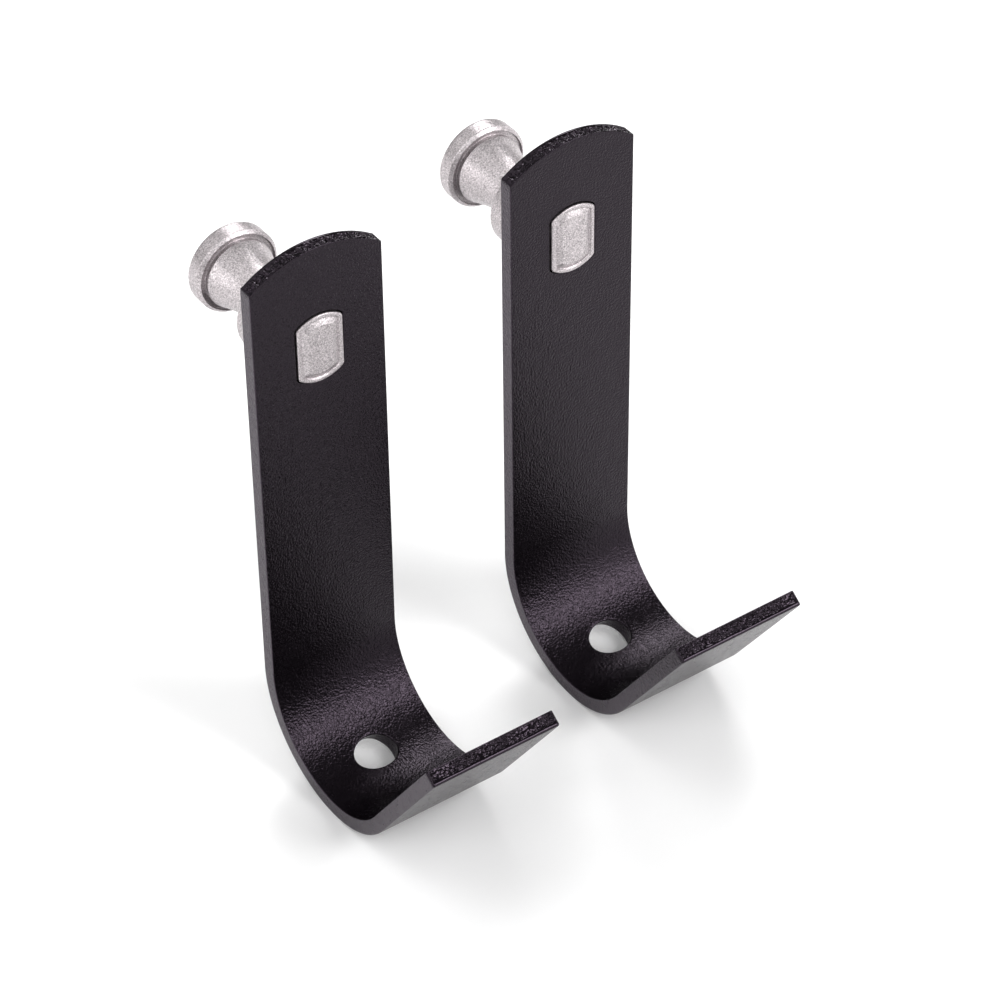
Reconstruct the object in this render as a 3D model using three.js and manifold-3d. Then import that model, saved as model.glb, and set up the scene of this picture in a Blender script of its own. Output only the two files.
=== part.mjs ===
// A pair of J-shaped hang-on brackets. Each is a bent flat steel strap with a keyhole stud set in its
// top end: the stud's head drops into a keyhole slot and the strap's upturned toe carries the load.
//
// Frame, in millimetres: X runs across the straps, +Y from the strap towards the stud's head, +Z up.
// The origin is on the left stud's axis, in the plane of the collar face that seats on the host plate.

import * as THREE from 'three';
import { mergeVertices } from 'three/addons/utils/BufferGeometryUtils.js';
import Module from 'manifold-3d';

const wasm = await Module();
wasm.setup();

// Driving dimensions of the strap
const STRAP_WIDTH = 50;
const STRAP_THICKNESS = 5.6;
const TOP_CORNER_Z = 31.6; // where the arched top end meets the long edges, above the stud's axis
const TOP_ARCH_RISE = 8.2;
const STRAIGHT_LENGTH = 162.3; // from those corners down to the start of the bend
const BEND_RADIUS = 33.3; // inside
const BEND_ANGLE = 145.2; // degrees turned, so the toe climbs at 55 degrees
const TOE_LENGTH = 57.2;
const DRAIN_HOLE_ANGLE = 73.6; // degrees round the bend from its start
// The hole is punched before bending, which shortens it along the strap in front and stretches it
// behind. Its half sizes, as [depth below the front face, across the strap, along the strap]:
const DRAIN_HOLE_FRONT = [0, 8.1, 6.7];
const DRAIN_HOLE_BACK = [STRAP_THICKNESS, 7.0, 8.9];

// Driving dimensions of the stud, along Y from the seat face unless said otherwise
const COLLAR_RADIUS = 15.8;
const COLLAR_LENGTH = 20.1;
const COLLAR_EDGE = 1.0;
const NECK_ROOT_RADIUS = 8.6; // at the collar
const NECK_FLARE_RADIUS = 12.7; // at the head
const NECK_LENGTH = 21.7;
const HEAD_RADIUS = 15.7;
const HEAD_GROOVE_START = 24.0; // floor of the groove between neck and head
const HEAD_FACE_START = 23.0;
const HEAD_RIM_START = 24.4;
const HEAD_END = 30.3;
const HEAD_EDGE = 1.2;
const TANG_RADIUS = 13.4;
const TANG_HALF_FLAT = 8.8;
// The tang's end, from its rim inwards, as [inset, height proud of the strap's front face]:
// a rounded lip, a thin groove, and a chamfer up to the flat centre
const TANG_END = [[0, 0.3], [0.35, 0.7], [1.3, 0.7], [1.8, 0.35], [2.0, 0.35], [3.9, 1.3]];

const PAIR_SPACING = 100.4; // between the two studs' axes
const SEAT_GAP = 0.1; // between collar and strap
const TANG_CLEARANCE = 0.3; // round the tang in its hole

const ARC_SEGMENTS = 32;
const ROUND_SEGMENTS = 48;
const TANG_ARC_STEPS = 12;

const backFaceY = -COLLAR_LENGTH;
const frontFaceY = backFaceY - STRAP_THICKNESS;
const bendStartZ = TOP_CORNER_Z - STRAIGHT_LENGTH;
const bendCentre = new THREE.Vector2(frontFaceY - BEND_RADIUS, bendStartZ);
const CUT_MARGIN = 20; // how far cutting tools run past what they cut

// Shape planes: a shape drawn in (Y, Z) grows along +X, and one drawn in (X, Z) grows along -Y.
const sidePlane = new THREE.Matrix4().makeBasis(
  new THREE.Vector3(0, 1, 0), new THREE.Vector3(0, 0, 1), new THREE.Vector3(1, 0, 0));
const frontPlane = new THREE.Matrix4().makeBasis(
  new THREE.Vector3(1, 0, 0), new THREE.Vector3(0, 0, 1), new THREE.Vector3(0, -1, 0));

function toSolid(geometry) {
  const bare = geometry.clone();
  bare.deleteAttribute('normal');
  bare.deleteAttribute('uv');
  const merged = mergeVertices(bare, 1e-4);
  const corners = merged.index.array;
  const triangles = [];
  for (let i = 0; i < corners.length; i += 3) {
    const [a, b, c] = corners.subarray(i, i + 3);
    if (a !== b && b !== c && c !== a) triangles.push(a, b, c); // a lathe's poles hold empty ones
  }
  return new wasm.Manifold(new wasm.Mesh({
    numProp: 3,
    vertProperties: new Float32Array(merged.attributes.position.array),
    triVerts: new Uint32Array(triangles),
  }));
}

function toGeometry(solid) {
  const mesh = solid.getMesh();
  const geometry = new THREE.BufferGeometry();
  geometry.setAttribute('position', new THREE.BufferAttribute(mesh.vertProperties, 3));
  geometry.setIndex(new THREE.BufferAttribute(mesh.triVerts, 1));
  geometry.computeVertexNormals();
  return geometry;
}

function extrude(shape, depth, plane, offset) {
  const geometry = new THREE.ExtrudeGeometry(shape, {
    depth, bevelEnabled: false, curveSegments: ARC_SEGMENTS,
  });
  return geometry.applyMatrix4(plane).translate(...offset);
}

// The tang's outline in (X, Z), a circle with a flat on each side, drawn in or out by an offset
function doubleD(offset) {
  const radius = TANG_RADIUS + offset;
  const corner = Math.acos((TANG_HALF_FLAT + offset) / radius);
  const points = [];
  for (const start of [corner, Math.PI + corner]) {
    for (let i = 0; i <= TANG_ARC_STEPS; i++) {
      const angle = start + (Math.PI - 2 * corner) * (i / TANG_ARC_STEPS);
      points.push(new THREE.Vector2(radius * Math.cos(angle), radius * Math.sin(angle)));
    }
  }
  return points;
}

// A closed skin over rings of as many points, each anticlockwise as seen along the way from the first
function loft(rings) {
  const corners = rings.flatMap((ring) => ring.flatMap((point) => point.toArray()));
  const triangles = [];
  const count = rings[0].length;
  for (let ring = 0; ring + 1 < rings.length; ring++) {
    for (let i = 0; i < count; i++) {
      const a = ring * count + i;
      const b = ring * count + (i + 1) % count;
      triangles.push(a, b + count, b, a, a + count, b + count);
    }
  }
  const last = (rings.length - 1) * count;
  for (let i = 1; i + 1 < count; i++) {
    triangles.push(0, i, i + 1, last, last + i + 1, last + i);
  }
  const geometry = new THREE.BufferGeometry();
  geometry.setAttribute('position', new THREE.Float32BufferAttribute(corners, 3));
  geometry.setIndex(triangles);
  geometry.computeVertexNormals();
  return geometry;
}

// A skin over double-D sections, given as [offset, distance along Y] from the front backwards
function loftDoubleD(sections) {
  return loft(sections.map(([offset, y]) => (
    doubleD(offset).map((point) => new THREE.Vector3(point.x, y, point.y)))));
}

// The tool that leaves the oval, tapering drain hole
function drainPunch() {
  const angle = THREE.MathUtils.degToRad(DRAIN_HOLE_ANGLE);
  const outward = new THREE.Vector3(0, Math.cos(angle), -Math.sin(angle));
  const along = new THREE.Vector3(0, -Math.sin(angle), -Math.cos(angle));
  const centre = new THREE.Vector3(0, bendCentre.x, bendCentre.y);
  const across = new THREE.Vector3(1, 0, 0);
  const [front, back] = [DRAIN_HOLE_FRONT, DRAIN_HOLE_BACK];
  return loft([-0.5, 1.5].map((share) => {
    const [depth, halfAcross, halfAlong] = front.map((value, i) => value + (back[i] - value) * share);
    const middle = centre.clone().addScaledVector(outward, BEND_RADIUS + depth);
    return Array.from({ length: ROUND_SEGMENTS }, (_, i) => {
      const turn = (-2 * Math.PI * i) / ROUND_SEGMENTS;
      return middle.clone()
        .addScaledVector(across, halfAcross * Math.cos(turn))
        .addScaledVector(along, halfAlong * Math.sin(turn));
    });
  }));
}

// The J as seen from its edge: straight leg, round bend and straight toe, at constant thickness
function strapSide() {
  const outerRadius = BEND_RADIUS + STRAP_THICKNESS;
  const turn = THREE.MathUtils.degToRad(BEND_ANGLE);
  const outward = new THREE.Vector2(Math.cos(turn), -Math.sin(turn));
  const along = new THREE.Vector2(-Math.sin(turn), -Math.cos(turn)).multiplyScalar(TOE_LENGTH);
  const toeInner = bendCentre.clone().addScaledVector(outward, BEND_RADIUS).add(along);
  const toeOuter = bendCentre.clone().addScaledVector(outward, outerRadius).add(along);
  const topZ = TOP_CORNER_Z + TOP_ARCH_RISE + CUT_MARGIN;

  const shape = new THREE.Shape();
  shape.moveTo(frontFaceY, topZ);
  shape.lineTo(frontFaceY, bendStartZ);
  shape.absarc(bendCentre.x, bendCentre.y, BEND_RADIUS, 0, -turn, true);
  shape.lineTo(toeInner.x, toeInner.y);
  shape.lineTo(toeOuter.x, toeOuter.y);
  shape.absarc(bendCentre.x, bendCentre.y, outerRadius, -turn, 0, false);
  shape.lineTo(backFaceY, topZ);
  shape.closePath();
  return shape;
}

// The strap as seen from the front: parallel edges under an arched top end
function strapFront() {
  const half = STRAP_WIDTH / 2;
  const archRadius = (half ** 2 + TOP_ARCH_RISE ** 2) / (2 * TOP_ARCH_RISE);
  const archCentreZ = TOP_CORNER_Z + TOP_ARCH_RISE - archRadius;
  const cornerAngle = Math.atan2(TOP_CORNER_Z - archCentreZ, half);
  const lowZ = bendStartZ - BEND_RADIUS - STRAP_THICKNESS - CUT_MARGIN;

  const shape = new THREE.Shape();
  shape.moveTo(-half, lowZ);
  shape.lineTo(half, lowZ);
  shape.absarc(0, archCentreZ, archRadius, cornerAngle, Math.PI - cornerAngle, false);
  shape.closePath();
  return shape;
}

function hookStrap() {
  const bent = toSolid(extrude(strapSide(), STRAP_WIDTH + 2 * CUT_MARGIN, sidePlane,
    [-STRAP_WIDTH / 2 - CUT_MARGIN, 0, 0]));
  const reach = BEND_RADIUS * 2 + TOE_LENGTH + 2 * CUT_MARGIN;
  const outline = toSolid(extrude(strapFront(), reach, frontPlane, [0, backFaceY + CUT_MARGIN, 0]));

  const tangHole = toSolid(loftDoubleD([
    [TANG_CLEARANCE, frontFaceY - CUT_MARGIN], [TANG_CLEARANCE, backFaceY + CUT_MARGIN],
  ]));
  return toGeometry(bent.intersect(outline).subtract(tangHole).subtract(toSolid(drainPunch())));
}

// Half of the turned part of the stud, as [radius, distance along Y] from collar to head
function studProfile() {
  const points = [
    [0, SEAT_GAP - COLLAR_LENGTH],
    [COLLAR_RADIUS - COLLAR_EDGE / 2, SEAT_GAP - COLLAR_LENGTH],
    [COLLAR_RADIUS, SEAT_GAP - COLLAR_LENGTH + COLLAR_EDGE / 2],
    [COLLAR_RADIUS, -COLLAR_EDGE],
    [COLLAR_RADIUS - 0.3 * COLLAR_EDGE, -0.3 * COLLAR_EDGE],
    [COLLAR_RADIUS - COLLAR_EDGE, 0],
  ];
  const NECK_STEPS = 8;
  for (let i = 0; i <= NECK_STEPS; i++) {
    const t = i / NECK_STEPS;
    points.push([NECK_ROOT_RADIUS + (NECK_FLARE_RADIUS - NECK_ROOT_RADIUS) * t * t, NECK_LENGTH * t]);
  }
  points.push(
    [NECK_FLARE_RADIUS, NECK_LENGTH + 0.4], // the neck's lip overhangs a groove in the head
    [NECK_FLARE_RADIUS - 0.3, HEAD_GROOVE_START],
    [HEAD_RADIUS - 1.5, HEAD_GROOVE_START],
    [HEAD_RADIUS - 1.5, HEAD_FACE_START],
    [HEAD_RADIUS, HEAD_RIM_START],
    [HEAD_RADIUS, HEAD_END - HEAD_EDGE],
    [HEAD_RADIUS - 0.3 * HEAD_EDGE, HEAD_END - 0.3 * HEAD_EDGE],
    [HEAD_RADIUS - HEAD_EDGE, HEAD_END],
    [0, HEAD_END],
  );
  return points.map(([radius, y]) => new THREE.Vector2(radius, y));
}

function keyholeStud() {
  const turned = toSolid(new THREE.LatheGeometry(studProfile(), ROUND_SEGMENTS));
  const rootY = backFaceY + COLLAR_LENGTH / 2;
  const sections = TANG_END.map(([inset, proud]) => [-inset, frontFaceY - proud]).reverse();
  const tang = toSolid(loftDoubleD([...sections, [0, rootY]]));
  return toGeometry(turned.add(tang));
}

const strapMaterial = () => new THREE.MeshStandardMaterial({
  color: 0x2b282b, roughness: 0.42, metalness: 0.0,
});
const studMaterial = () => new THREE.MeshStandardMaterial({
  color: 0xb9b6b5, roughness: 0.55, metalness: 0.85,
});

const strapGeometry = hookStrap();
const studGeometry = keyholeStud();

function bracket(side, x) {
  const group = new THREE.Group();
  const strap = new THREE.Mesh(strapGeometry, strapMaterial());
  strap.name = `hook_strap_${side}`;
  const stud = new THREE.Mesh(studGeometry, studMaterial());
  stud.name = `keyhole_stud_${side}`;
  group.add(strap, stud);
  group.position.x = x;
  return group;
}

const pair = new THREE.Group();
pair.add(bracket('left', 0), bracket('right', PAIR_SPACING));

export default pair;
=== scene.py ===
"""Looks for a pair of hang-on hook brackets: powder-coated bent straps with blasted steel studs.

Lengths in this script are millimetres, and meshes are scaled to metres as they are made.
A strap is first laid out flat, in (across, along, depth): across from its middle line, along down its
front face from the level of its top corners, depth from the front face to the back. Then it is folded.
"""

import math

import bmesh
import bpy
import numpy as np
from mathutils import Matrix, Vector, noise
from mathutils.geometry import delaunay_2d_cdt


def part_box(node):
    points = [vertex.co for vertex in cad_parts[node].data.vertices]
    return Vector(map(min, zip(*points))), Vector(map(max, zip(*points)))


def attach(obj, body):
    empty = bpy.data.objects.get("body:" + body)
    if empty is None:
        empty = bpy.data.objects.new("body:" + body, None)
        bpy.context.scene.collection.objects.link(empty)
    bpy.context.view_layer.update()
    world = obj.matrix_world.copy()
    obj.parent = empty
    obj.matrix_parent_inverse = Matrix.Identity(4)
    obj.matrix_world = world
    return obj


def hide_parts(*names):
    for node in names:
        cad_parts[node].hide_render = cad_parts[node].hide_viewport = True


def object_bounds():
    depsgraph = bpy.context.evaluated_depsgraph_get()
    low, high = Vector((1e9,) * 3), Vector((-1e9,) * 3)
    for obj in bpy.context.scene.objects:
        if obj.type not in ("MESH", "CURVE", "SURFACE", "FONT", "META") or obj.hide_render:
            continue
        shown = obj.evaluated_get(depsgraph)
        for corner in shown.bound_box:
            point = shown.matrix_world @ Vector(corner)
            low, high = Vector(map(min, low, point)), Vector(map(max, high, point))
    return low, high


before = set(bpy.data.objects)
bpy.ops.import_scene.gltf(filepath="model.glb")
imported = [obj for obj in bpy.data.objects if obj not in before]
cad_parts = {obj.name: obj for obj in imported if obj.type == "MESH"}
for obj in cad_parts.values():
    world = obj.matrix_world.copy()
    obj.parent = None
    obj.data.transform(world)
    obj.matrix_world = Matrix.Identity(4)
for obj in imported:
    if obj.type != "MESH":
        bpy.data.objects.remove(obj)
CAD_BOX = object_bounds()
METRE = 1000.0
SIDES = ("left", "right")

# Strap, as in the CAD model
THICKNESS = 5.6
ARCH_RISE = 8.2
BEND_RADIUS = 33.3  # inside
BEND_ANGLE = math.radians(145.2)
TOE_LENGTH = 57.2
DRAIN_ANGLE = math.radians(73.6)
DRAIN_FRONT = (8.1, 6.5)  # half sizes across and along; bending narrowed the back and stretched it
DRAIN_BACK = (7.0, 8.5)
TANG_CLEARANCE = 0.3

# Stud, as in the CAD model, with lengths along Y from the collar's seat face
COLLAR_LENGTH = 20.1
SEAT_GAP = 0.1
NECK_ROOT_RADIUS = 8.6
NECK_FLARE_RADIUS = 12.7
NECK_LENGTH = 21.7
HEAD_GROOVE_START = 24.0
HEAD_FACE_START = 23.0
HEAD_RIM_START = 24.4
TANG_RADIUS = 13.4
TANG_HALF_FLAT = 8.8

CAST_WAVE = 0.35  # unevenness of the stud: waves per millimetre, and their height
CAST_HEIGHT = 0.022

# Fineness of the meshes
EDGE_STEP = 0.28  # along and across a sheared end
FACE_STEP = 1.0  # along a strap
FACE_COLUMN = 2.5  # across a strap
STUD_STEP = 0.55  # along the stud's profile


def smoothstep(low, high, value):
    share = np.clip((value - low) / (high - low), 0.0, 1.0)
    return share * share * (3.0 - 2.0 * share)


def box_mm(node):
    low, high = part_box(node)
    return low * METRE, high * METRE


# ---------------------------------------------------------------- meshes


class Skin:
    """Points and faces of one closed mesh, gathered ring by ring. Each point knows the sort of edge
    it is on: 1 on a sheared end, -1 on a rolled edge, 0 elsewhere."""

    def __init__(self):
        self.points = []
        self.faces = []
        self.edge_kind = []

    def add(self, points, edge_kind=0.0):
        start = len(self.points)
        self.points.extend(tuple(p) for p in points)
        self.edge_kind.extend(np.broadcast_to(edge_kind, len(points)).tolist())
        return list(range(start, len(self.points)))

    def band(self, ring, following):
        """Quads between two closed rings with as many points."""
        for i in range(len(ring)):
            j = (i + 1) % len(ring)
            self.faces.append((ring[i], ring[j], following[j], following[i]))

    def build(self, name):
        mesh = bpy.data.meshes.new(name)
        mesh.from_pydata([tuple(c / METRE for c in p) for p in self.points], [], self.faces)
        mesh.validate()
        layer = mesh.attributes.new("edge_kind", "FLOAT", "POINT")
        layer.data.foreach_set("value", self.edge_kind)
        mesh.shade_smooth()
        piece = bpy.data.objects.new(name, mesh)
        bpy.context.scene.collection.objects.link(piece)
        turn_outward(piece)
        even = piece.modifiers.new("even_shading", "WEIGHTED_NORMAL")
        even.mode = "FACE_AREA"
        return piece


def turn_outward(piece):
    shape = bmesh.new()
    shape.from_mesh(piece.data)
    bmesh.ops.recalc_face_normals(shape, faces=shape.faces)
    shape.to_mesh(piece.data)
    shape.free()


def outward_normals(points):
    """Unit normals of a closed flat outline, pointing to the right of its direction of travel."""
    ahead = np.roll(points, -1, axis=0) - points
    ahead /= np.linalg.norm(ahead, axis=1)[:, None]
    behind = np.roll(ahead, 1, axis=0)
    tangent = ahead + behind
    tangent /= np.linalg.norm(tangent, axis=1)[:, None]
    return np.stack([tangent[:, 1], -tangent[:, 0]], axis=1)


def corner_arc(before, corner, after, radius, steps=5):
    """Points that round off a corner between two straight runs, without their outer ends."""
    a = (before - corner) / np.linalg.norm(before - corner)
    b = (after - corner) / np.linalg.norm(after - corner)
    half = math.acos(float(np.clip(a @ b, -1, 1))) / 2
    reach = radius / math.tan(half)
    centre = corner + (a + b) / np.linalg.norm(a + b) * radius / math.sin(half)
    start, end = corner + a * reach - centre, corner + b * reach - centre
    sweep = math.pi - 2 * half
    share = np.linspace(0, 1, steps + 1)[:, None]
    blend = np.sin((1 - share) * sweep) * start + np.sin(share * sweep) * end
    return centre + blend / math.sin(sweep)


# ---------------------------------------------------------------- strap


class Strap:
    """One strap: where it stands, and how its flat layout folds into the J."""

    PLAN_CORNER = 0.7  # rounding of the corners seen from the front
    MILL_EDGE = 0.3  # rounding along the long rolled edges
    TORN_EDGE = 0.3  # rounding where the shear broke through, at the front face
    ROLLED_OVER = 0.8  # rounding where the shear went in, at the back face
    TORN_UP_TO = (0.66, 0.74)  # where the torn part fades out, as a share of the thickness
    TORN_DEPTH = 0.42  # how far the torn part stands back
    TOE_CHIPS = (0.14, 0.30)  # heights of the streaks and lumps in the torn part
    TOP_CHIPS = (0.36, 0.24)
    GROOVE_DEPTH = 0.14  # between the torn part and the smooth one
    GROOVE_WIDTH = 0.035

    def __init__(self, side):
        low, high = box_mm(f"hook_strap_{side}")
        stud_low, stud_high = box_mm(f"keyhole_stud_{side}")
        self.seed = 11.37 if side == "left" else 47.81
        self.middle = (low.x + high.x) / 2
        self.half_width = (high.x - low.x) / 2
        self.front = high.y - THICKNESS
        self.top_corners = high.z - ARCH_RISE
        self.bend_height = low.z + BEND_RADIUS + THICKNESS
        self.straight = self.top_corners - self.bend_height
        self.end = self.straight + BEND_RADIUS * BEND_ANGLE + TOE_LENGTH
        self.stud_along = self.top_corners - (stud_low.z + stud_high.z) / 2
        self.drain_along = self.straight + BEND_RADIUS * DRAIN_ANGLE

    def fold(self, across, along, depth):
        """Flat coordinates to the row frame: straight leg, round bend, straight toe."""
        turn = np.clip((along - self.straight) / BEND_RADIUS, 0.0, BEND_ANGLE)
        leg = np.minimum(along, self.straight)
        toe = np.maximum(along - self.straight - BEND_RADIUS * BEND_ANGLE, 0.0)
        radius = BEND_RADIUS + depth
        x = self.middle + across
        y = self.front - BEND_RADIUS + radius * np.cos(turn) - toe * np.sin(turn)
        z = self.top_corners - leg - radius * np.sin(turn) - toe * np.cos(turn)
        return np.stack(np.broadcast_arrays(x, y, z), axis=-1)

    def outline(self):
        """The outer edge as (points, 1 where sheared and -1 where rolled)."""
        half = self.half_width
        arch = (half**2 + ARCH_RISE**2) / (2 * ARCH_RISE)
        spread = math.asin(half / arch)
        angles = np.linspace(-spread, spread, round(2 * spread * arch / EDGE_STEP))
        top = np.stack([arch * np.sin(angles), arch - ARCH_RISE - arch * np.cos(angles)], axis=1)
        rows = np.linspace(0, self.end, round(self.end / FACE_STEP))
        right = np.stack([np.full_like(rows, half), rows], axis=1)
        columns = np.linspace(half, -half, round(2 * half / EDGE_STEP))
        toe = np.stack([columns, np.full_like(columns, self.end)], axis=1)
        left = right[::-1] * (-1, 1)

        runs = [(top, 1.0), (right, -1.0), (toe, 1.0), (left, -1.0)]
        points, kinds = [], []
        for i, (run, kind) in enumerate(runs):
            following = runs[(i + 1) % len(runs)][0]
            inner = run[4:-4] if kind > 0 else run[2:-2]
            rounded = corner_arc(run[-5], run[-1], following[4], self.PLAN_CORNER)
            points += [inner, rounded]
            kinds += [np.full(len(inner), kind), np.zeros(len(rounded))]
        return np.concatenate(points), np.concatenate(kinds)

    def broken_back(self, across, along, depth, kinds):
        """How far a sheared end stands back: torn and streaked at the front, smooth behind."""
        back = np.zeros(len(across))
        share = depth / THICKNESS
        for i in np.flatnonzero(kinds > 0.5):
            x, at_toe = across[i], along[i] > self.straight
            end = 5.0 if at_toe else 0.0
            wander = 0.05 * noise.noise(Vector((x * 0.12, end, self.seed)))
            fading, gone = (limit + wander for limit in self.TORN_UP_TO)
            torn = 1.0 - float(smoothstep(fading, gone, share[i]))
            torn *= float(smoothstep(0.0, 0.7, depth[i]))
            rough = 0.8 + 0.6 * noise.noise(Vector((x * 0.11, 3.1 + end, self.seed)))
            slant = x + 0.25 * depth[i]
            streak = noise.noise(Vector((slant * 0.85, depth[i] * 0.3 + end, self.seed)))
            lump = noise.noise(Vector((x * 1.5, depth[i] * 1.3, self.seed + 3.0 + end)))
            streak_height, lump_height = self.TOE_CHIPS if at_toe else self.TOP_CHIPS
            chips = streak_height * math.tanh(5 * streak) + lump_height * math.tanh(4 * lump)
            groove = self.GROOVE_DEPTH * math.exp(-(((share[i] - gone) / self.GROOVE_WIDTH) ** 2))
            back[i] = torn * (self.TORN_DEPTH + rough * chips) + groove
        return np.maximum(back, 0.0)

    def rim(self, skin, place, front_radius, back_radius, rows, kinds, relief=None):
        """The wall round one outline, with rounded edges. place(offset, depth) gives flat points
        that lie offset into the material. Returns the front and back rings and their flat points."""
        curve = np.linspace(0, math.pi / 2, 4)
        levels = [(front_radius * (1 - math.sin(a)), front_radius * (1 - math.cos(a))) for a in curve]
        flush, first, last = np.zeros(kinds.shape), front_radius, THICKNESS - back_radius
        levels += [(flush, first + share * (last - first))
                   for share in np.linspace(0, 1, rows + 2)[1:-1]]
        levels += [
            (back_radius * (1 - math.sin(a)), THICKNESS - back_radius * (1 - math.cos(a)))
            for a in curve[::-1]
        ]
        rings = []
        for level, (offset, depth) in enumerate(levels):
            depth = np.broadcast_to(depth, kinds.shape)
            flat = place(offset, depth)
            if relief is not None:
                flat = place(offset + relief(flat[:, 0], flat[:, 1], depth), depth)
            on_face = level in (0, len(levels) - 1)
            points = self.fold(flat[:, 0], flat[:, 1], depth)
            rings.append((skin.add(points, 0.0 if on_face else kinds), flat))
        for (ring, _), (following, _) in zip(rings, rings[1:]):
            skin.band(ring, following)
        return rings[0], rings[-1]

    def outer_rim(self, skin):
        points, kinds = self.outline()
        normals = outward_normals(points)
        cut = smoothstep(-1.0, 1.0, kinds)
        front_radius = self.MILL_EDGE + (self.TORN_EDGE - self.MILL_EDGE) * cut
        back_radius = self.MILL_EDGE + (self.ROLLED_OVER - self.MILL_EDGE) * cut

        def place(offset, depth):
            return points - normals * np.broadcast_to(offset, kinds.shape)[:, None]

        def relief(across, along, depth):
            return self.broken_back(across, along, depth, kinds)

        rows = round(THICKNESS / EDGE_STEP)
        return self.rim(skin, place, front_radius, back_radius, rows, kinds, relief)

    def tang_rim(self, skin):
        outline = double_d(TANG_RADIUS + TANG_CLEARANCE) * (1, -1)
        outline = outline + (0.0, self.stud_along)
        normals = outward_normals(outline)
        away = np.sum(normals * (outline - (0.0, self.stud_along)), axis=1).mean()
        normals = normals * math.copysign(1.0, away)

        def place(offset, depth):
            return outline + normals * np.broadcast_to(offset, len(outline))[:, None]

        whole = np.zeros(len(outline))
        return self.rim(skin, place, whole + 0.35, whole + 0.35, 3, whole)

    def drain_rim(self, skin):
        angles = np.linspace(0, 2 * math.pi, 96, endpoint=False)

        def place(offset, depth):
            share = depth / THICKNESS
            half_across, half_along = (
                front + (back - front) * share + offset for front, back in zip(DRAIN_FRONT, DRAIN_BACK))
            turned = np.arcsin(half_along * np.sin(angles) / (BEND_RADIUS + depth))
            return np.stack(
                [half_across * np.cos(angles), self.drain_along + BEND_RADIUS * turned], axis=1)

        whole = np.zeros(len(angles))
        return self.rim(skin, place, whole + 0.5, whole + 0.5, 6, whole)

    def clear_of(self, grid, loop):
        """Grid points that keep half a row's distance from a loop."""
        keep = np.ones(len(grid), bool)
        for start in range(0, len(grid), 2000):
            part = grid[start:start + 2000]
            gap = np.linalg.norm(part[:, None] - loop[None], axis=2).min(axis=1)
            keep[start:start + 2000] = gap > FACE_STEP / 2
        return keep

    def fill(self, skin, outer, holes, depth):
        """One face of the strap, between the outer ring and the rings round its holes."""
        columns = np.arange(-self.half_width, self.half_width, FACE_COLUMN)[1:]
        rows = np.arange(-ARCH_RISE, self.end, FACE_STEP)
        grid = np.stack(np.meshgrid(columns, rows), axis=-1).reshape(-1, 2)
        loops = [outer[1]] + [flat for _, flat in holes]
        grid = grid[inside(outer[1], grid)]
        for loop in loops[1:]:
            grid = grid[~inside(loop, grid)]
        for loop in loops:
            grid = grid[self.clear_of(grid, loop)]
        ring_points = [i for ring, _ in [outer, *holes] for i in ring]
        ids = ring_points + skin.add(self.fold(grid[:, 0], grid[:, 1], np.full(len(grid), depth)))
        flat = np.concatenate(loops + [grid])
        edges, start = [], 0
        for loop in loops:
            count = len(loop)
            edges += [(start + i, start + (i + 1) % count) for i in range(count)]
            start += count
        _, _, triangles, origin, _, _ = delaunay_2d_cdt(
            [Vector(p) for p in flat], edges, [list(range(len(loops[0])))], 1, 1e-6)
        triangles = np.array([[origin[i][0] for i in t] for t in triangles])
        centres = flat[triangles].mean(axis=1)
        for loop in loops[1:]:
            outside = ~inside(loop, centres)
            triangles, centres = triangles[outside], centres[outside]
        skin.faces += [tuple(ids[i] for i in t) for t in triangles]

    def build(self, name):
        skin = Skin()
        rims = [self.outer_rim(skin), self.tang_rim(skin), self.drain_rim(skin)]
        fronts, backs = [r[0] for r in rims], [r[1] for r in rims]
        self.fill(skin, fronts[0], fronts[1:], 0.0)
        self.fill(skin, backs[0], backs[1:], THICKNESS)
        return skin.build(name)


def inside(loop, points):
    """Which points lie inside a closed outline, by counting the edges to one side of each."""
    x, y = points[:, 0][:, None], points[:, 1][:, None]
    x0, y0 = loop[:, 0], loop[:, 1]
    x1, y1 = np.roll(x0, -1), np.roll(y0, -1)
    found = np.zeros(len(points), bool)
    for start in range(0, len(points), 2000):
        px, py = x[start:start + 2000], y[start:start + 2000]
        spans = (y0 > py) != (y1 > py)
        with np.errstate(divide="ignore", invalid="ignore"):
            crossing = x0 + (py - y0) * (x1 - x0) / (y1 - y0)
        found[start:start + 2000] = (np.sum(spans & (px < crossing), axis=1) % 2) == 1
    return found


# ---------------------------------------------------------------- stud

ARC_STEPS = 36
FLAT_STEPS = 40
CORNER_ANGLE = math.acos(TANG_HALF_FLAT / TANG_RADIUS)


def ring_angles(corner):
    """Angles of a ring that has points where the tang's four corners are."""
    quarter = [np.linspace(corner, math.pi - corner, ARC_STEPS, endpoint=False),
               np.linspace(math.pi - corner, math.pi + corner, FLAT_STEPS, endpoint=False)]
    return np.concatenate(quarter + [a + math.pi for a in quarter])


def circle(radius):
    angles = ring_angles(CORNER_ANGLE)
    return np.stack([radius * np.cos(angles), radius * np.sin(angles)], axis=1)


def double_d(radius):
    """The tang's outline, drawn in or out from its own size by its radius."""
    half_flat = radius - (TANG_RADIUS - TANG_HALF_FLAT)
    corner = math.acos(half_flat / radius)
    angles = ring_angles(corner)
    points = np.stack([radius * np.cos(angles), radius * np.sin(angles)], axis=1)
    top = radius * math.sin(corner)
    slide = np.linspace(top, -top, FLAT_STEPS, endpoint=False)
    left = slice(ARC_STEPS, ARC_STEPS + FLAT_STEPS)
    right = slice(2 * ARC_STEPS + FLAT_STEPS, None)
    points[left] = np.stack([np.full(FLAT_STEPS, -half_flat), slide], axis=1)
    points[right] = -points[left]
    for _ in range(2):
        points = (np.roll(points, 1, axis=0) + 2 * points + np.roll(points, -1, axis=0)) / 4
    return points


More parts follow.
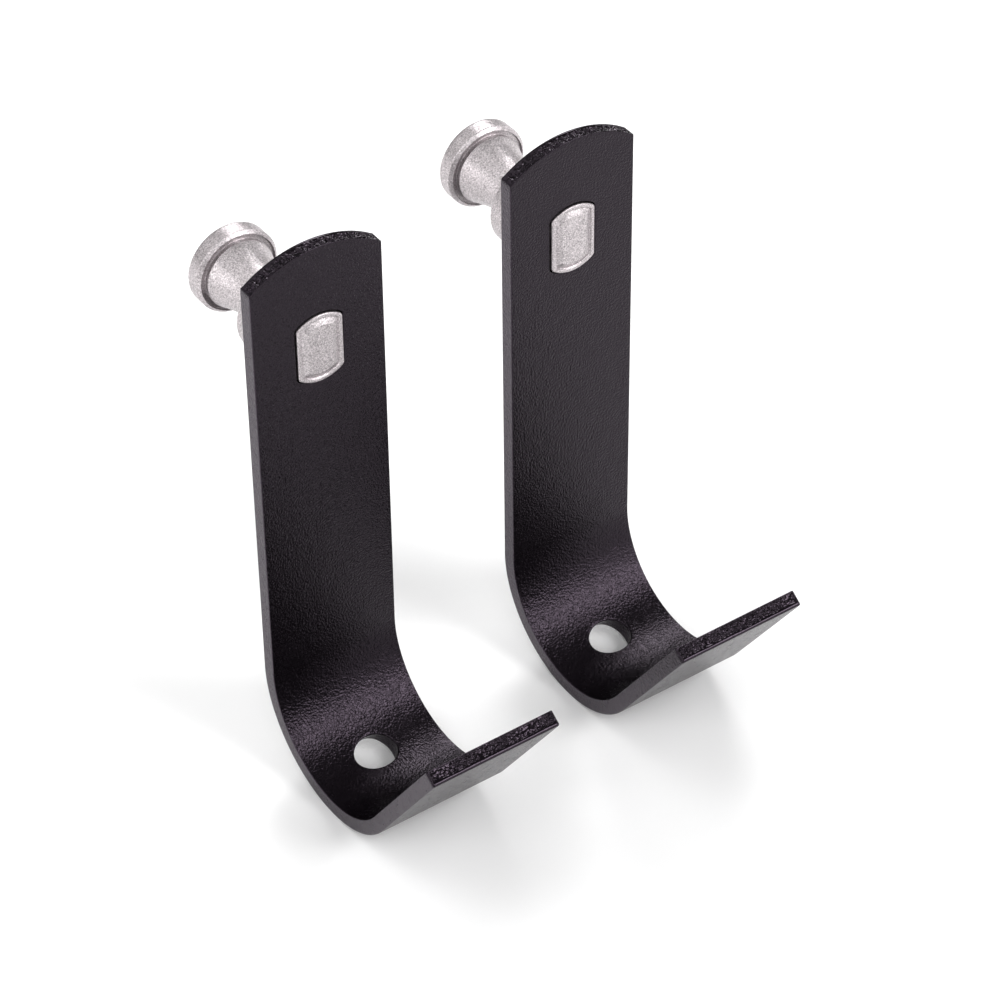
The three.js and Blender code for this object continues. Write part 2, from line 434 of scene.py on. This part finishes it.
def soften(corners, step):
    """A profile through (radius, y, fillet) corners, with its corners rounded, in short steps."""
    bends = [np.array(corners[0][:2], float)[None]]
    for before, corner, after in zip(corners, corners[1:], corners[2:]):
        here = np.array(corner[:2], float)
        if corner[2] > 0:
            bends.append(corner_arc(np.array(before[:2]), here, np.array(after[:2]), corner[2]))
        else:
            bends.append(here[None])
    bends.append(np.array(corners[-1][:2], float)[None])
    path = np.concatenate(bends)
    fine = [path[0]]
    for start, end in zip(path, path[1:]):
        count = max(1, math.ceil(np.linalg.norm(end - start) / step))
        fine += [start + (end - start) * k / count for k in range(1, count + 1)]
    return np.array(fine)


def tang_profile(front):
    """From the flat centre of the tang's end out to its rim and along its side, as (radius, y)."""
    lip, groove, centre = front - 0.75, front - 0.3, front - 1.3
    return soften([
        (TANG_RADIUS - 4.4, centre, 0),
        (TANG_RADIUS - 3.9, centre, 0.35),
        (TANG_RADIUS - 2.05, groove, 0.12),
        (TANG_RADIUS - 1.8, groove, 0.1),
        (TANG_RADIUS - 1.45, lip, 0.25),
        (TANG_RADIUS - 0.05, lip, 0.55),
        (TANG_RADIUS, front + 1.5, 0),
    ], STUD_STEP / 2)


def body_profile(collar_radius, head_radius, head_end):
    """From the collar's back edge to the middle of the head's outer face, as (radius, y)."""
    seat = SEAT_GAP - COLLAR_LENGTH
    corners = [
        (TANG_RADIUS + 0.6, seat, 0),
        (collar_radius, seat, 0.7),
        (collar_radius, 0.0, 1.0),
        (NECK_ROOT_RADIUS + 0.9, 0.0, 0.0),
    ]
    steps = 14
    for i in range(1, steps + 1):
        t = i / steps
        flare = NECK_ROOT_RADIUS + (NECK_FLARE_RADIUS - NECK_ROOT_RADIUS) * t * t
        corners.append((flare, NECK_LENGTH * t, 0))
    corners += [
        (NECK_FLARE_RADIUS + 0.1, NECK_LENGTH + 0.4, 0.3),  # lip
        (NECK_FLARE_RADIUS - 0.3, HEAD_GROOVE_START, 0.25),
        (head_radius - 1.4, HEAD_GROOVE_START, 0.25),
        (head_radius - 1.4, HEAD_FACE_START, 0.15),
        (head_radius, HEAD_RIM_START, 0.5),
        (head_radius, head_end, 1.3),
        (head_radius * 0.05, head_end, 0),
    ]
    return soften(corners, STUD_STEP)


def build_stud(side):
    name = f"keyhole_stud_{side}"
    low, high = box_mm(name)
    middle = Vector(((low.x + high.x) / 2, 0, (low.z + high.z) / 2))
    front = box_mm(f"hook_strap_{side}")[1].y - THICKNESS
    seed = 5.43 if side == "left" else 31.72
    skin = Skin()

    def ring(outline, y):
        points = [(middle.x + p[0], y, middle.z + p[1]) for p in outline]
        return skin.add([cast_surface(p, seed) for p in points])

    tang = tang_profile(front)
    rings = [ring(double_d(tang[0][0]) * share, tang[0][1]) for share in (0.08, 0.3, 0.55, 0.8)]
    rings += [ring(double_d(radius), y) for radius, y in tang]
    rings.append(ring(double_d(TANG_RADIUS), SEAT_GAP - COLLAR_LENGTH))
    rings += [
        ring(circle(radius), y)
        for radius, y in body_profile(high.x - middle.x, high.x - middle.x - 0.1, high.y)
    ]
    for first, second in zip(rings, rings[1:]):
        skin.band(first, second)
    skin.faces += [tuple(rings[0]), tuple(rings[-1])]
    return skin.build(f"blasted_stud_{side}")


def cast_surface(point, seed):
    """The slight unevenness of a cast or forged surface under the blasting."""
    at = Vector(point)
    push = noise.noise_vector(at * CAST_WAVE + Vector((seed, 0, 0))) * CAST_HEIGHT
    return tuple(at + push)


# ---------------------------------------------------------------- materials


class Surface:
    """A material with one Principled shader, and short ways to add nodes to it."""

    def __init__(self, name):
        self.material = bpy.data.materials.new(name)
        self.material.use_nodes = True
        self.tree = self.material.node_tree
        self.tree.nodes.clear()
        output = self.tree.nodes.new("ShaderNodeOutputMaterial")
        self.shader = self.tree.nodes.new("ShaderNodeBsdfPrincipled")
        self.link(self.shader.outputs["BSDF"], output.inputs["Surface"])
        self.place = self.tree.nodes.new("ShaderNodeTexCoord").outputs["Object"]

    def link(self, source, target):
        self.tree.links.new(source, target)

    def set(self, **values):
        for name, value in values.items():
            self.shader.inputs[name.replace("_", " ")].default_value = value

    def grain(self, size, detail=2.0, roughness=0.5):
        """Noise whose features are about size millimetres."""
        node = self.tree.nodes.new("ShaderNodeTexNoise")
        node.inputs["Scale"].default_value = METRE / size
        node.inputs["Detail"].default_value = detail
        node.inputs["Roughness"].default_value = roughness
        self.link(self.place, node.inputs["Vector"])
        return node.outputs["Fac"]

    def math(self, operation, a, b):
        node = self.tree.nodes.new("ShaderNodeMath")
        node.operation = operation
        for socket, value in zip(node.inputs, (a, b)):
            if isinstance(value, (int, float)):
                socket.default_value = value
            else:
                self.link(value, socket)
        return node.outputs["Value"]

    def ramp(self, factor, low, high, start=0.3, end=0.7):
        """Colour that goes from low to high while the factor goes from start to end."""
        node = self.tree.nodes.new("ShaderNodeValToRGB")
        for element, place, colour in zip(node.color_ramp.elements, (start, end), (low, high)):
            element.position = place
            element.color = (*colour, 1.0)
        self.link(factor, node.inputs["Fac"])
        return node.outputs["Color"]

    def spread(self, factor, low, high, start=0.3, end=0.7):
        """Number that goes from low to high while the factor goes from start to end."""
        node = self.tree.nodes.new("ShaderNodeMapRange")
        for name, value in (("From Min", start), ("From Max", end), ("To Min", low), ("To Max", high)):
            node.inputs[name].default_value = value
        self.link(factor, node.inputs["Value"])
        return node.outputs["Result"]

    def attribute(self, name):
        node = self.tree.nodes.new("ShaderNodeAttribute")
        node.attribute_name = name
        return node.outputs["Fac"]

    def bump(self, height, depth, before=None):
        """Relief of depth millimetres where the height goes from 0 to 1."""
        node = self.tree.nodes.new("ShaderNodeBump")
        node.inputs["Strength"].default_value = 1.0
        node.inputs["Distance"].default_value = depth / METRE
        self.link(height, node.inputs["Height"])
        if before is not None:
            self.link(before, node.inputs["Normal"])
        self.link(node.outputs["Normal"], self.shader.inputs["Normal"])
        return node.outputs["Normal"]


def powder_coat():
    surface = Surface("powder_coat")
    surface.set(Metallic=0.0, IOR=1.46, Specular_Tint=(0.98, 0.80, 1.0, 1.0))
    edge_kind = surface.attribute("edge_kind")
    sheared = surface.spread(edge_kind, 0.0, 1.0, start=0.0, end=1.0)
    surface.link(surface.spread(edge_kind, 1.0, 0.5, start=-1.0, end=0.0),
                 surface.shader.inputs["Specular IOR Level"])
    cloud = surface.grain(9.0, detail=3.0)
    surface.link(surface.ramp(cloud, (0.0026, 0.0018, 0.0026), (0.0042, 0.0030, 0.0042)),
                 surface.shader.inputs["Base Color"])
    coated = surface.spread(surface.grain(2.5, detail=3.0), 0.20, 0.29)
    glossier = surface.math("MULTIPLY", sheared, 0.08)
    surface.link(surface.math("SUBTRACT", coated, glossier), surface.shader.inputs["Roughness"])
    peel_share = surface.spread(edge_kind, 1.0, 0.12, start=0.0, end=1.0)

    def peel_height(size):
        middle = surface.math("SUBTRACT", surface.grain(size, detail=1.0), 0.5)
        return surface.math("MULTIPLY", middle, peel_share)

    waves = surface.bump(surface.grain(4.0, detail=1.0), 0.10)
    peel = surface.bump(peel_height(0.78), 0.24, before=waves)
    surface.bump(peel_height(0.46), 0.11, before=peel)
    return surface.material


def blasted_metal():
    surface = Surface("blasted_metal")
    surface.set(Metallic=1.0)
    speckle = surface.grain(0.48, detail=3.0, roughness=0.75)
    surface.link(surface.ramp(speckle, (0.24, 0.222, 0.227), (0.82, 0.768, 0.785), 0.32, 0.68),
                 surface.shader.inputs["Base Color"])
    surface.link(surface.spread(surface.grain(1.2, detail=3.0), 0.35, 0.41),
                 surface.shader.inputs["Roughness"])
    pits = surface.bump(surface.grain(1.1, detail=2.0, roughness=0.6), 0.04)
    surface.bump(surface.grain(0.45, detail=2.0, roughness=0.6), 0.11, before=pits)
    return surface.material


def white_floor():
    surface = Surface("white_floor")
    surface.set(Roughness=0.9, Base_Color=(1.0, 1.0, 1.0, 1.0))
    surface.shader.inputs["Specular IOR Level"].default_value = 0.0
    return surface.material


# ---------------------------------------------------------------- scene

VIEW_AZIMUTH, VIEW_ELEVATION, VIEW_ROLL = -34.706, 40.6, -0.67
CAMERA_PLACE = (-0.509053, -0.861549, 0.771649)
LENS = 139.14
FLOOR_REACH = 30.0
WORLD_STRENGTH = 0.25
DISPLAY_GAMMA = 0.85
LIGHTS = (  # name, azimuth, elevation, angular size, strength
    ("key_front_left", 315.0, 42.0, 45.0, 1.0),
    ("front_right", 36.0, 38.0, 30.0, 1.55),
    ("low_front_right", 35.0, 14.0, 40.0, 0.55),
    ("low_right", 95.0, 14.0, 40.0, 0.6),
    ("low_left", 260.0, 14.0, 40.0, 0.85),
    ("back_left", 225.0, 42.0, 40.0, 0.4),
    ("back_right", 142.0, 40.0, 24.0, 1.0),
    ("overhead", 205.0, 68.0, 40.0, 0.4),
)


def show(piece, material, side, node):
    piece.data.materials.append(material)
    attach(piece, f"bracket_{side}")
    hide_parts(node)


def make_brackets():
    coat, metal = powder_coat(), blasted_metal()
    for side in SIDES:
        strap = Strap(side).build(f"coated_strap_{side}")
        show(strap, coat, side, f"hook_strap_{side}")
        show(build_stud(side), metal, side, f"keyhole_stud_{side}")


def make_floor():
    corners = [(x * FLOOR_REACH, y * FLOOR_REACH, CAD_BOX[0].z)
               for x, y in ((-1, -1), (1, -1), (1, 1), (-1, 1))]
    mesh = bpy.data.meshes.new("floor")
    mesh.from_pydata(corners, [], [(0, 1, 2, 3)])
    mesh.materials.append(white_floor())
    floor = bpy.data.objects.new("floor", mesh)
    bpy.context.scene.collection.objects.link(floor)


def toward(azimuth, elevation):
    """Unit vector to a viewpoint: azimuth 0 is in front, 90 to the right; degrees."""
    a, e = math.radians(azimuth), math.radians(elevation)
    return Vector((math.sin(a) * math.cos(e), -math.cos(a) * math.cos(e), math.sin(e)))


def make_camera():
    back = toward(VIEW_AZIMUTH, VIEW_ELEVATION)
    right = Vector((-back.y, back.x, 0)).normalized()
    up = back.cross(right)
    roll = math.radians(VIEW_ROLL)
    axes = (right * math.cos(roll) + up * math.sin(roll),
            up * math.cos(roll) - right * math.sin(roll), back)
    camera = bpy.data.objects.new("camera", bpy.data.cameras.new("camera"))
    camera.data.sensor_width = 36.0
    camera.data.lens = LENS
    camera.matrix_world = Matrix.Translation(CAMERA_PLACE) @ Matrix(axes).transposed().to_4x4()
    bpy.context.scene.collection.objects.link(camera)
    bpy.context.scene.camera = camera


def make_lights():
    scene = bpy.context.scene
    scene.view_settings.view_transform = "Standard"
    scene.view_settings.gamma = DISPLAY_GAMMA
    world = bpy.data.worlds.new("studio")
    world.use_nodes = True
    background = world.node_tree.nodes["Background"]
    background.inputs["Color"].default_value = (1.0, 1.0, 1.0, 1.0)
    background.inputs["Strength"].default_value = WORLD_STRENGTH
    scene.world = world
    for name, azimuth, elevation, angle, strength in LIGHTS:
        light = bpy.data.lights.new(name, "SUN")
        light.energy = strength
        light.angle = math.radians(angle)
        lamp = bpy.data.objects.new(name, light)
        lamp.rotation_euler = toward(azimuth, elevation).to_track_quat("Z", "Y").to_euler()
        scene.collection.objects.link(lamp)


make_brackets()
make_floor()
make_camera()
make_lights()
